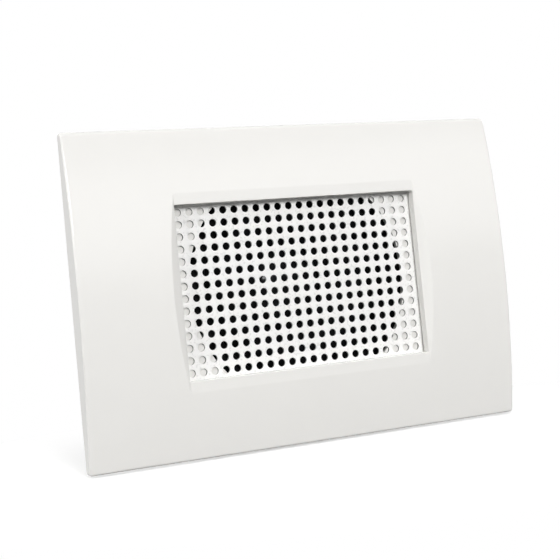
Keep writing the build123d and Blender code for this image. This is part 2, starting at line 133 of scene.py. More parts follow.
class DriverSettings(bpy.types.PropertyGroup):
    """Sizes and colours of the soft and moving parts of the driver."""

    sheet: length("Soft sheet", "Thickness of the surround and spider", 0.4)
    roll_outer: length("Roll outer", "Outer radius of the surround's roll", 29.2)
    roll_inner: length("Roll inner", "Inner radius of the surround's roll", 24.4)
    cone_edge: length("Cone edge", "Radius of the cone's mouth", 22.6)
    neck_radius: length("Neck radius", "Radius of the cone's neck", 9.85)
    spider_waves: IntProperty(name="Spider waves", description="Waves in the spider", default=3)
    spider_start: length("Spider start", "Radius at which the waves start", 17.4)
    spider_neck: length("Spider neck", "Width of the flat ring on the former", 1.15)
    spider_rise: length("Spider rise", "How far the spider rises to the former", 2.6)
    spider_wave: length("Wave height", "Height of the spider's waves", 0.5)
    lead_radius: length("Lead radius", "Radius of a braided lead", 0.4)
    rubber: vector("Rubber", "Colour of the surround", (0.010, 0.010, 0.010), subtype="COLOR")
    paper: vector("Paper", "Colour of the cone", (0.010, 0.010, 0.0105), subtype="COLOR")
    cloth: vector("Cloth", "Colour of the spider", (0.60, 0.40, 0.14), subtype="COLOR")


class StageSettings(bpy.types.PropertyGroup):
    """Camera, lamps, light of the room and floor."""

    camera_place: vector(
        "Camera place",
        "Where the camera stands",
        (-0.141859, -0.288547, -0.001718),
        subtype="TRANSLATION",
        unit="LENGTH",
    )
    camera_forward: vector(
        "Camera forward", "Direction of the view", (0.43139, 0.90064, 0.05245), subtype="DIRECTION"
    )
    camera_right: vector(
        "Camera right", "Direction to its right", (0.89986, -0.42541, -0.09629), subtype="DIRECTION"
    )
    focal_length: number("Focal length", "For a sensor 36 mm wide", 81.58, unit="CAMERA")
    shift: number("Shift", "Vertical shift of the picture", -0.10)
    light_level: number("Light level", "Light of the room at the horizon in front", 0.15)
    light_rise: number("Light rise", "How much lighter the room is overhead than at the horizon", 0.15)
    light_behind: number("Light behind", "How much lighter the room is behind the plate", 1.15)
    front_power: number("Front power", "Soft lamp in front", 27.5, unit="POWER")
    top_power: number("Top power", "Wide lamp above the front", 7.6, unit="POWER")
    window_power: number("Window power", "Lamp that the face mirrors above the land", 3.6, unit="POWER")
    side_power: number("Side power", "Soft lamp at the left", 10.0, unit="POWER")
    edge_power: number("Edge power", "Soft lamp behind the left edge", 9.0, unit="POWER")
    floor_shade: number("Floor shade", "Light and shadow that the floor shows", 0.95, subtype="FACTOR")
    floor_white: number("Floor white", "White that the floor shows besides", 0.3, subtype="FACTOR")
    floor_bounce: number("Floor bounce", "How pale the floor is to the object", 0.12, subtype="FACTOR")


def add_piece(name, points, faces, material, body, slot, replaced):
    """New mesh object from points and lists of faces, turned so that a closed surface faces outwards.

    The signed volumes between the origin and the faces tell which way they point.
    """
    volume = 0.0
    for block in faces:
        for second in range(1, block.shape[1] - 1):
            a, b, c = points[block[:, 0]], points[block[:, second]], points[block[:, second + 1]]
            volume += np.einsum("ij,ij->i", a, np.cross(b, c)).sum()
    if volume < 0:
        faces = [block[:, ::-1] for block in faces]
    mesh = bpy.data.meshes.new(name)
    mesh.from_pydata(points.tolist(), [], [face for block in faces for face in block.tolist()])
    mesh.polygons.foreach_set("use_smooth", np.ones(len(mesh.polygons), bool))
    mesh.validate()
    mesh.materials.append(material)
    piece = bpy.data.objects.new(name, mesh)
    bpy.context.scene.collection.objects.link(piece)
    if body:
        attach(piece, body)
    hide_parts(*replaced)
    normals = piece.modifiers.new("flat faces stay flat", "WEIGHTED_NORMAL")
    normals.weight = 100
    return piece


def grid_faces(rows, columns, close_rows=False):
    """Quads between the points of a grid that is stored row after row, where each row is a closed ring."""
    row = np.arange(rows if close_rows else rows - 1)
    row, column = np.meshgrid(row, np.arange(columns), indexing="ij")
    next_row = (row + 1) % rows
    next_column = (column + 1) % columns
    corners = [row * columns + column, row * columns + next_column]
    corners += [next_row * columns + next_column, next_row * columns + column]
    return np.stack(corners, axis=-1).reshape(-1, 4)


def corner_curves(before, corners, after, reach, count):
    """Curves of a count of points that round corners between the points before and after them.

    A curve starts and ends a reach away from its corner, or less where a side is short. Its points are the
    start, the corner and the end blended by the weights of a quadratic curve.
    """
    touching = []
    for neighbour in (before, after):
        side = neighbour - corners
        size = np.linalg.norm(side, axis=1)[:, None]
        touching.append(corners + side / size * np.minimum(reach, size * CORNER_SHARE))
    start, end = touching
    t = np.linspace(0, 1, count)[None, :, None]
    curves = (1 - t) ** 2 * start[:, None] + 2 * t * (1 - t) * corners[:, None] + t**2 * end[:, None]
    return curves.reshape(-1, 2)


def rounded_section(corners, radius):
    """Closed outline with rounded corners."""
    corners = np.asarray(corners, float)
    before = np.roll(corners, 1, axis=0)
    after = np.roll(corners, -1, axis=0)
    return corner_curves(before, corners, after, radius, ROUND_STEPS + 1)


def rounded_line(points, reach, count):
    """Open line with rounded corners, each a curve of a count of points."""
    curves = corner_curves(points[:-2], points[1:-1], points[2:], reach, count)
    return np.concatenate([points[:1], curves, points[-1:]])


def turned(section):
    """Points and faces of a closed section of radius and depth, carried round the speaker's axis.

    X is the radius times the cosine of the turn, Z the radius times its sine, and Y is the depth.
    """
    turn = np.linspace(0, 2 * math.pi, TURN_STEPS, endpoint=False)
    x = section[:, :1] * np.cos(turn)
    z = section[:, :1] * np.sin(turn)
    y = np.broadcast_to(section[:, 1:], x.shape)
    points = np.stack([x, y, z], axis=-1).reshape(-1, 3)
    return points, [grid_faces(len(section), TURN_STEPS, close_rows=True)]


def sheet_outline(line, thickness):
    """Closed outline of a sheet: a line of radius and depth, and that line set back along its normals."""
    along = np.gradient(line, axis=0)
    normal = np.stack([along[:, 1], -along[:, 0]], axis=1)
    normal /= np.linalg.norm(normal, axis=1)[:, None]
    return np.concatenate([line, (line + normal * thickness)[::-1]])


def put_in(tree, socket, value):
    """Link the output of another node to an input, or set the input to a plain value."""
    if isinstance(value, bpy.types.NodeSocket):
        tree.links.new(value, socket)
    else:
        socket.default_value = value


def set_values(tree, node, values):
    """Give a shader node its inputs and options by their names, spaces written as underscores."""
    for name, value in values.items():
        socket = node.inputs.get(name.replace("_", " "))
        if socket is None:
            setattr(node, name, value)
        else:
            put_in(tree, socket, value)


def add_node(tree, kind, *inputs, **values):
    """New shader node, with its first inputs given in order, and other inputs and options by their names."""
    node = tree.nodes.new(kind)
    for socket, value in zip(node.inputs, inputs):
        put_in(tree, socket, value)
    set_values(tree, node, values)
    return node


def colour_range(tree, factor, low, high, start=0.3, end=0.7):
    """Two colours mixed by a factor between a start and an end."""
    ramp = add_node(tree, "ShaderNodeValToRGB", factor)
    for element, position, colour in zip(ramp.color_ramp.elements, (start, end), (low, high)):
        element.position = position
        element.color = (*colour, 1.0)
    return ramp.outputs["Color"]


def number_range(tree, value, low=0.0, high=1.0, start=0.0, end=1.0, **options):
    """A value between a start and an end, spread from low to high and held there beyond them."""
    limits = {"From_Min": start, "From_Max": end, "To_Min": low, "To_Max": high}
    return add_node(tree, "ShaderNodeMapRange", Value=value, **limits, **options).outputs["Result"]


def calculate(tree, operation, *values):
    """Result of a calculation with outputs of other nodes and plain numbers."""
    return add_node(tree, "ShaderNodeMath", *values, operation=operation).outputs["Value"]


MIX_SOCKETS = {"FLOAT": (2, 3, 0), "RGBA": (6, 7, 2)}  # of a Mix node: both values and the result


def mixed_value(tree, kind, factor, *values):
    """Two numbers or colours mixed by a factor."""
    node = add_node(tree, "ShaderNodeMix", factor, data_type=kind)
    *sockets, result = MIX_SOCKETS[kind]
    for socket, value in zip(sockets, values):
        put_in(tree, node.inputs[socket], value)
    return node.outputs[result]


def mixed_shader(tree, factor, first, second):
    """Two shaders mixed by a factor."""
    return add_node(tree, "ShaderNodeMixShader", factor, first, second).outputs["Shader"]


def coordinates(tree, place):
    """X, Y and Z of a place."""
    return add_node(tree, "ShaderNodeSeparateXYZ", place).outputs


def distance(tree, place):
    """Distance of a place from the origin."""
    return add_node(tree, "ShaderNodeVectorMath", place, operation="LENGTH").outputs["Value"]


def radius_of(tree, place):
    """Distance of a place from the speaker's axis."""
    flat = add_node(tree, "ShaderNodeVectorMath", place, (1.0, 0.0, 1.0), operation="MULTIPLY")
    return distance(tree, flat.outputs["Vector"])


def ripple(tree, along, pitch):
    """Wave along a length that repeats at a pitch: half the sine of its turn, plus a half."""
    turn = calculate(tree, "MULTIPLY", along, 2 * math.pi / pitch)
    return calculate(tree, "MULTIPLY_ADD", calculate(tree, "SINE", turn), 0.5, 0.5)


def noise(tree, place, size, detail):
    """Noise whose spots are about a size across."""
    return add_node(tree, "ShaderNodeTexNoise", Vector=place, Scale=1 / size, Detail=detail).outputs["Fac"]


def bump(tree, height, depth):
    """Relief of a depth from a height between 0 and 1."""
    return add_node(tree, "ShaderNodeBump", Height=height, Strength=1.0, Distance=depth).outputs["Normal"]


def shaded(colour, factor):
    """A colour made darker or lighter by a factor."""
    return tuple(channel * factor for channel in colour)


def new_finish(name, **values):
    """New material with its shader's constant values, its node tree and the place that patterns read."""
    material = bpy.data.materials.new(name)
    material.use_nodes = True
    tree = material.node_tree
    set_values(tree, tree.nodes["Principled BSDF"], values)
    return material, tree, add_node(tree, "ShaderNodeTexCoord").outputs["Object"]


def link_finish(material, tint, gloss, relief):
    """Link a finish to the shader of its material, and give the material back.

    The gloss is a pattern with the roughness at both its ends, and the relief a pattern with its depth.
    """
    tree = material.node_tree
    values = {"Base_Color": tint, "Roughness": number_range(tree, *gloss), "Normal": bump(tree, *relief)}
    set_values(tree, tree.nodes["Principled BSDF"], values)
    return material


def plastic_finish(name, colour, roughness, grain_size, grain_depth):
    """Moulded plastic: faint clouds in the colour and the gloss, and a fine grain from the mould."""
    material, tree, place = new_finish(name, IOR=1.5)
    clouds = noise(tree, place, size=9 * MM, detail=3.0)
    grain = noise(tree, place, size=grain_size, detail=3.0)
    tint = colour_range(tree, clouds, shaded(colour, 0.995), shaded(colour, 1.004))
    gloss = (clouds, roughness * 0.95, roughness * 1.05)
    return link_finish(material, tint, gloss, relief=(grain, grain_depth))


def paint_finish(name, colour, front):
    """Powder-coated sheet: a fine pebbled skin with darker pits, and painted shade, a dark grey, on the
    holes' walls and the sheet's back.
    """
    material, tree, place = new_finish(name, IOR=1.45)
    depth = coordinates(tree, place)["Y"]
    # Mask of the painted shade: 0 on the front, 1 past its soft edge, on the holes' walls and the back.
    inside = number_range(tree, depth, start=front + 0.08 * MM, end=front + 0.2 * MM)
    pebbles = noise(tree, place, size=0.35 * MM, detail=2.0)
    pits = noise(tree, place, size=0.55 * MM, detail=1.0)
    pitted_paint = colour_range(tree, pits, shaded(colour, 0.86), colour, start=0.30, end=0.42)
    # Painted shade: inside the holes and behind, the paint drops to 0.3 of its colour.
    tint = mixed_value(tree, "RGBA", inside, pitted_paint, (*shaded(colour, 0.3), 1.0))
    return link_finish(material, tint, gloss=(pebbles, 0.5, 0.7), relief=(pebbles, 0.03 * MM))


def rubber_finish(name, colour, roughness, grain_size, grain_depth):
    """Rubber, foam or paper: a dull skin with a soft grain and a little dust in its colour."""
    material, tree, place = new_finish(name, IOR=1.45, Specular_IOR_Level=0.12)
    grain = noise(tree, place, size=grain_size, detail=4.0)
    dust = noise(tree, place, size=5 * MM, detail=4.0)
    tint = colour_range(tree, dust, shaded(colour, 0.75), shaded(colour, 1.5))
    gloss = (grain, roughness * 0.8, roughness * 1.15)
    return link_finish(material, tint, gloss, relief=(grain, grain_depth))


def cap_finish():
    """Glossy black dome with a faint ripple left by its press."""
    material, tree, place = new_finish("cap gloss", IOR=1.5, Specular_IOR_Level=0.15)
    sweep = noise(tree, place, size=3 * MM, detail=2.0)
    tint = colour_range(tree, sweep, (0.010, 0.010, 0.011), (0.018, 0.018, 0.019))
    return link_finish(material, tint, gloss=(sweep, 0.10, 0.17), relief=(sweep, 0.01 * MM))


METALS = {  # colour, roughness and size of the grain
    "former foil": ((0.72, 0.72, 0.73), 0.3, 0.5 * MM),
    "pressed steel": ((0.60, 0.60, 0.58), 0.34, 0.6 * MM),
    "screw steel": ((0.64, 0.64, 0.62), 0.28, 0.3 * MM),
    "rivet metal": ((0.66, 0.66, 0.65), 0.3, 0.3 * MM),
    "tinned brass": ((0.74, 0.70, 0.60), 0.26, 0.4 * MM),
}


def metal_finish(name):
    """Plated or plain metal: crystal clouds in its colour, and an uneven grain in its gloss and relief."""
    colour, roughness, grain_size = METALS[name]
    material, tree, place = new_finish(name, Metallic=1.0)
    grain = noise(tree, place, size=grain_size, detail=4.0)
    clouds = noise(tree, place, size=6 * MM, detail=3.0)
    tint = colour_range(tree, clouds, shaded(colour, 0.86), shaded(colour, 1.06))
    gloss = (grain, roughness * 0.7, roughness * 1.4)
    return link_finish(material, tint, gloss, relief=(grain, 0.01 * MM))


def turned_steel_finish():
    """Turned and zinc-plated steel: fine rings about the axis under a mottled plating."""
    material, tree, place = new_finish("motor steel", Metallic=1.0)
    rings = ripple(tree, radius_of(tree, place), pitch=0.35 * MM)
    clouds = noise(tree, place, size=5 * MM, detail=4.0)
    tint = colour_range(tree, clouds, (0.51, 0.51, 0.50), (0.60, 0.60, 0.585))
    return link_finish(material, tint, gloss=(clouds, 0.24, 0.42), relief=(rings, 0.006 * MM))


def wound_copper_finish(name, pitch):
    """Copper wire laid turn on turn along the axis."""
    material, tree, place = new_finish(name, Metallic=1.0)
    turns = ripple(tree, coordinates(tree, place)["Y"], pitch)
    clouds = noise(tree, place, size=2 * MM, detail=3.0)
    tint = colour_range(tree, clouds, (0.52, 0.25, 0.13), (0.78, 0.42, 0.24))
    return link_finish(material, tint, gloss=(clouds, 0.25, 0.45), relief=(turns, 0.05 * MM))


def woven_finish(name, colour, pitch):
    """Resin-stiffened cloth: threads along X crossing threads along Z, with uneven resin between them."""
    material, tree, place = new_finish(name, IOR=1.45)
    split = coordinates(tree, place)
    weave = calculate(tree, "MULTIPLY", ripple(tree, split["X"], pitch), ripple(tree, split["Z"], pitch))
    resin = noise(tree, place, size=4 * MM, detail=3.0)
    tint = colour_range(tree, resin, shaded(colour, 0.7), shaded(colour, 1.15))
    return link_finish(material, tint, gloss=(resin, 0.5, 0.75), relief=(weave, 0.06 * MM))


def ferrite_finish():
    """Pressed ferrite: dark grey grains with a few bright specks, dull where it was ground."""
    material, tree, place = new_finish("ferrite", IOR=1.8)
    grains = noise(tree, place, size=0.3 * MM, detail=4.0)
    clouds = noise(tree, place, size=7 * MM, detail=4.0)
    tint = colour_range(tree, grains, (0.028, 0.028, 0.030), (0.085, 0.085, 0.088), start=0.35, end=0.75)
    return link_finish(material, tint, gloss=(clouds, 0.42, 0.62), relief=(grains, 0.04 * MM))


def board_finish():
    """Brown resin board with short paper fibres."""
    material, tree, place = new_finish("resin board", IOR=1.5)
    stretch = add_node(tree, "ShaderNodeMapping", Vector=place, Scale=(1.0, 0.25, 1.0))
    fibres = noise(tree, stretch.outputs["Vector"], size=0.4 * MM, detail=4.0)
    tint = colour_range(tree, fibres, (0.16, 0.075, 0.030), (0.30, 0.155, 0.070))
    return link_finish(material, tint, gloss=(fibres, 0.30, 0.45), relief=(fibres, 0.01 * MM))


def give_finish(material, *nodes):
    """Put a material on CAD nodes."""
    for name in nodes:
        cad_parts[name].material_slots[0].material = material


SIDE_STEPS = (72, 52)  # along the level and the upright sides of the plate's outlines


def rectangle_outline(half_width, half_height, radius):
    """Closed outline of a rectangle with round corners, in X and Z.

    Each corner is a quarter circle in even steps and each side is divided evenly, so that outlines match
    point by point.
    """
    middles = np.array(QUADRANTS) * (half_width - radius, half_height - radius)
    turns = np.arange(4)[:, None] * math.pi / 2 + QUARTER
    arcs = middles[:, None] + radius * np.stack([np.cos(turns), np.sin(turns)], axis=-1)
    outline = []
    for corner in range(4):
        share = np.linspace(0, 1, SIDE_STEPS[corner % 2] + 1)[1:-1, None]
        start = arcs[corner, -1]
        end = arcs[(corner + 1) % 4, 0]
        outline += [arcs[corner], start + share * (end - start)]
    return np.concatenate(outline)


class PlateForm:
    """Depths and outlines of the cover plate, worked out from its settings."""

    LEAST_CORNER = 0.4 * MM
    LAND_CORNER = 0.8 * MM
    LAND_SHARES = (0.1, 0.3, 0.6, 0.85, 0.95, 1.0)  # rows from the window to the land's edge
    FACE_SHARES = (0.01, 0.03, 0.07, *np.linspace(0.12, 0.97, 22), 1.0)  # from there to the face's edge
    BACK_SHARES = np.linspace(0, 1, 14)  # from the rim to the lip
    LEG_STATIONS = np.array([(-1, 0.9), (-0.98, 0.97), (-0.94, 1), (0.94, 1), (0.98, 0.97), (1, 0.9)])

    def __init__(self, settings):
        self.settings = settings
        self.half = np.array([PLATE_HIGH.x, PLATE_HIGH.z])
        self.window = np.array([settings.window_width, settings.window_height]) / 2
        self.crest = PLATE_LOW.y
        self.land = self.crest + settings.land_setback
        self.lip_back = self.land + settings.lip_thickness
        self.bend = (self.half[1] ** 2 + settings.bow**2) / (2 * settings.bow)
        drop = self.bend - settings.land_setback
        self.land_top = math.sqrt(self.bend**2 - drop**2)

    def face(self, z, inset=0.0):
        """Depth of the bowed face at a height, or of the surface that lies an inset behind it.

        It is a circle about a level axis behind the crest: the depth of the axis, less the root of the
        squared radius less the squared height.
        """
        return self.crest + self.bend - np.sqrt((self.bend - inset) ** 2 - z**2)

    def front(self, outline):
        """Depth of the front at each point of an outline: the deeper of the bowed face and the land.

        The land is flat across the window and rises evenly past its sides. The join is soft: half their sum,
        plus half the root of their squared difference and the squared softness.
        """
        x, z = outline.T
        slope = np.maximum(np.abs(x) - self.window[0], 0) / self.settings.land_spread
        face = self.face(z)
        land = self.land - slope
        return (face + land + np.sqrt((face - land) ** 2 + self.settings.crease_soft**2)) / 2

    def outer(self, inset, top_inset=None):
        """Outline of the plate, moved inwards, with an inset of its own along the top if one is given."""
        half = self.half - inset
        outline = rectangle_outline(*half, max(self.settings.corner - inset, self.LEAST_CORNER))
        if top_inset is not None:
            top = self.half[1] - top_inset
            outline[:, 1] = np.interp(outline[:, 1], (-half[1], half[1]), (-half[1], top))
        return outline

    def opening(self, margin):
        """Outline of the window, moved outwards."""
        return rectangle_outline(*(self.window + margin), self.settings.window_corner + margin)

    def land_edge(self):
        """Outline at which the land meets the bowed face. Its sides bulge where the slopes meet the bow."""
        outline = rectangle_outline(self.window[0], self.land_top, self.LAND_CORNER)
        bulge = self.settings.land_spread * np.maximum(self.land - self.face(outline[:, 1]), 0)
        outline[:, 0] += np.sign(outline[:, 0]) * bulge
        return outline

    def rows(self):
        """Rows of points from the window's wall over the front, round the rim and back behind to the window.

        Each row is an outline with a depth. Rows across a face are blends of its two edges, and round edges
        are quarter circles of insets and depths.
        """
        s = self.settings
        rise = 1 - np.sin(QUARTER)
        run = 1 - np.cos(QUARTER)
        rows = [(self.opening(0), self.lip_back - s.lip_round)]
        for out, up in zip(run, rise):
            rows.append((self.opening(s.lip_round * out), self.land + s.lip_round * up))
        window = self.opening(s.lip_round)
        land = self.land_edge()
        face = self.outer(s.face_round, s.top_round)
        for start, end, shares in ((window, land, self.LAND_SHARES), (land, face, self.FACE_SHARES)):
            for share in shares:
                outline = start + share * (end - start)
                rows.append((outline, self.front(outline)))
        at_top = np.clip((self.outer(0)[:, 1] - self.half[1] + s.corner) / s.corner, 0, 1)
        soft = s.face_round + at_top * (s.top_round - s.face_round)
        for inset, depth in zip(rise[1:], run[1:]):
            outline = self.outer(s.face_round * inset, s.top_round * inset)
            rows.append((outline, self.front(outline) + soft * depth))
        for out, up in zip(run, rise):
            rows.append((self.outer(s.rim_round * out), -s.rim_round * up))
        for out, up in zip(run[::-1], rise[::-1]):
            rows.append((self.outer(s.wall - s.rim_round * out), -s.rim_round * up))
        inner = self.outer(s.wall)
        lip = self.opening(s.lip_width)
        for share in self.BACK_SHARES:
            outline = inner + share * (lip - inner)
            rows.append((outline, self.face(outline[:, 1], s.wall)))
        rows.append((lip, self.lip_back))
        rows.append((self.opening(s.lip_round), self.lip_back))
        return rows

    def surface(self):
        """Points and faces of the closed skin of the plate."""
        rows = self.rows()
        outlines = np.array([outline for outline, _ in rows])
        depths = np.array([np.broadcast_to(depth, outlines.shape[1]) for _, depth in rows])
        points = np.stack([outlines[..., 0], depths, outlines[..., 1]], axis=-1)
        return points.reshape(-1, 3), [grid_faces(len(rows), outlines.shape[1], close_rows=True)]

    def legs(self):
        """Points and faces of the four snap legs: one section carried along Z, with its ends drawn in.

        A station is a place along the leg, in half widths from its middle, and the section's size there.
        """
        s = self.settings
        inner = s.leg_place[0] - s.leg_thickness / 2
        outer = s.leg_place[0] + s.leg_thickness / 2
        root = self.face(s.leg_place[1] + s.leg_width / 2) + s.wall / 2
        corners = [(inner, root), (outer, root), (outer, s.latch_front)]
        corners += [(outer + s.latch_reach, s.latch_front), (outer, PLATE_HIGH.y), (inner, PLATE_HIGH.y)]
        section = rounded_section(corners, s.rim_round)
        count = len(section)
        middle = section.mean(axis=0)
        stations = self.LEG_STATIONS
        flat = middle + (section - middle) * stations[:, 1, None, None]
        along = stations[:, :1] * s.leg_width / 2 + s.leg_place[1]
        along = np.broadcast_to(along, (len(stations), count))
        leg = np.stack([flat[..., 0], flat[..., 1], along], axis=-1).reshape(-1, 3)
        sides = grid_faces(len(stations), count)
        ends = np.array([np.arange(count)[::-1], np.arange(count) + len(leg) - count])
        points, quads, caps = [], [], []
        for index, (x, z) in enumerate(QUADRANTS):
            order = slice(None, None, -1 if x * z < 0 else 1)
            points.append(leg * (x, 1, z))
            quads.append(sides[:, order] + index * len(leg))
            caps.append(ends[:, order] + index * len(leg))
        return np.concatenate(points), [np.concatenate(quads), np.concatenate(caps)]


class SPEAKER_OT_cover_plate(bpy.types.Operator):
    """Build the bowed cover plate and its snap legs"""

    bl_idname = "speaker.cover_plate"
    bl_label = "Cover plate"

    def execute(self, context):
        settings = context.scene.speaker_plate
        finish = plastic_finish(
            "plate plastic", settings.colour, roughness=0.17, grain_size=0.3 * MM, grain_depth=0.0005 * MM
        )
        form = PlateForm(settings)
        add_piece("cover_plate_skin", *form.surface(), finish, "housing", "plate_plastic", ["cover_plate"])
        add_piece("snap_legs", *form.legs(), finish, "housing", "plate_plastic", ["cover_plate"])
        return {"FINISHED"}


CELL_STEPS = 4  # along each side of a cell of the grille
HOLE_STEPS = 4 * CELL_STEPS  # round a hole
HOLE_EDGE = ((1.0, 0.0), (0.25, 0.3), (0.0, 1.0))  # out from the hole and into it, in soft edges


def flat_layer(outline, depth):
    """Points of an outline in X and Z, all at one depth."""
    return np.stack([outline[:, 0], np.full(len(outline), depth), outline[:, 1]], axis=-1)


def band(first, second):
    """Quads between two closed rings of point numbers, for many pairs of rings at once."""
    return np.stack([first, second, np.roll(second, -1, 1), np.roll(first, -1, 1)], axis=-1).reshape(-1, 4)


def grille_surface(settings):
    """Points and faces of the perforated sheet.

    The sheet is a lattice of square cells, whose sides are cut in even steps. In every cell the points of
    its edge are joined to a circle of as many points, which runs over a soft edge and through the hole to
    the same lattice behind. The border runs over a soft edge to the sheet's outline, and so to the back.
    """
    columns, rows, pitch = settings.columns, settings.rows, settings.pitch
    soft, radius = settings.edge_round, settings.hole / 2
    front, back = GRILLE_LOW.y, GRILLE_HIGH.y
    half = CELL_STEPS // 2
    steps = [np.arange(CELL_STEPS * cells + 1) for cells in (columns, rows)]
    i, k = np.meshgrid(*steps, indexing="ij")
    on_edge = (i % CELL_STEPS == 0) | (k % CELL_STEPS == 0)
    index = np.cumsum(on_edge.ravel()).reshape(on_edge.shape) - 1
    flat = np.stack([i - half * columns, k - half * rows], axis=-1)[on_edge] * pitch / CELL_STEPS
    turn = np.arange(HOLE_STEPS) * 2 * math.pi / HOLE_STEPS
    circle = np.stack([np.cos(turn), np.sin(turn)], axis=-1)
    square = circle / np.abs(circle).max(axis=1, keepdims=True)
    around = np.rint(half + half * square).astype(int)
    cell = np.stack(np.meshgrid(np.arange(columns), np.arange(rows), indexing="ij"), axis=-1)
    cell = cell.reshape(-1, 1, 2)
    ring = CELL_STEPS * cell + around
    edge = index[ring[..., 0], ring[..., 1]]
    middle = (cell + 0.5 - np.array([columns, rows]) / 2) * pitch
    hoops = [(radius + out * soft, front + into * soft) for out, into in HOLE_EDGE]
    hoops.append((radius, back))
    hoop = np.arange(len(cell) * HOLE_STEPS).reshape(-1, HOLE_STEPS)
    layers = [flat_layer(flat, front)]
    chain = [edge]
    for size, depth in hoops:
        chain.append(hoop + sum(map(len, layers)))
        layers.append(flat_layer((middle + circle * size).reshape(-1, 2), depth))
    last = sum(map(len, layers))
    layers.append(flat_layer(flat, back))
    chain.append(edge + last)
    quads = [band(first, second) for first, second in zip(chain, chain[1:])]
    border = [index[-1, :-1], index[::-1, -1][:-1], index[0, ::-1][:-1], index[:-1, 0]]
    border = np.concatenate(border)[None]
    outside = flat[border[0]] * (GRILLE_HIGH.x / (columns * pitch / 2), GRILLE_HIGH.z / (rows * pitch / 2))
    inside = outside * (1 - soft / GRILLE_HIGH.z)
    chain = [border]
    for outline, depth in [(inside, front), (outside, front + soft), (outside, back - soft), (inside, back)]:
        chain.append(np.arange(len(outline))[None] + sum(map(len, layers)))
        layers.append(flat_layer(outline, depth))
    chain.append(border + last)
    quads += [band(second, first) for first, second in zip(chain, chain[1:])]
    return np.concatenate(layers), [np.concatenate(quads)]


class SPEAKER_OT_grille(bpy.types.Operator):
    """Build the perforated sheet with its round holes"""

    bl_idname = "speaker.grille"
    bl_label = "Grille"

    def execute(self, context):
        settings = context.scene.speaker_grille
        finish = paint_finish("grille paint", settings.colour, GRILLE_LOW.y)
        add_piece("grille_sheet", *grille_surface(settings), finish, "housing", "grille_paint", ["grille"])
        return {"FINISHED"}


class SPEAKER_OT_support_frame(bpy.types.Operator):
    """Finish the moulded frame that carries the grille and the driver"""

    bl_idname = "speaker.support_frame"
    bl_label = "Support frame"

    def execute(self, context):
        colour = shaded(context.scene.speaker_plate.colour, 0.93)
        finish = plastic_finish(
            "frame plastic", colour, roughness=0.42, grain_size=0.18 * MM, grain_depth=0.012 * MM
        )
        give_finish(finish, "support_frame")
        return {"FINISHED"}


FOAM_ROUND = 0.3 * MM  # of the foam ring's edges
FOAM = (0.012, 0.012, 0.012)  # its colour
ROLL_POINTS = 14  # along each half of the surround's roll
ROLL_FLAT = 0.4 * MM  # from the roll to the first point of a lip beside it
WAVE_POINTS = 20  # along each wave of the spider
RIM_POINTS = 8  # across the spider's flat rim
RIM_GAP = 0.3 * MM  # from the rim to the first wave


def frame_bore(node):
    """Smallest distance from the speaker's axis on a CAD node."""
    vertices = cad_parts[node].data.vertices
    places = np.zeros(3 * len(vertices))
    vertices.foreach_get("co", places)
    places = places.reshape(-1, 3)
    return float(np.hypot(places[:, 0], places[:, 2]).min())


def roll_line(settings, start, end):
    """Front line of the surround's roll between two shares of its half circle, from the outside in.

    The radius is the roll's middle plus the half circle's cosine, and the depth its foot less the sine.
    """
    middle = (settings.roll_outer + settings.roll_inner) / 2
    radius = (settings.roll_outer - settings.roll_inner) / 2
    turn = np.linspace(start, end, ROLL_POINTS) * math.pi
    foot = SURROUND_HIGH.y - settings.sheet
    return np.stack([middle + radius * np.cos(turn), foot - radius * np.sin(turn)], axis=1)


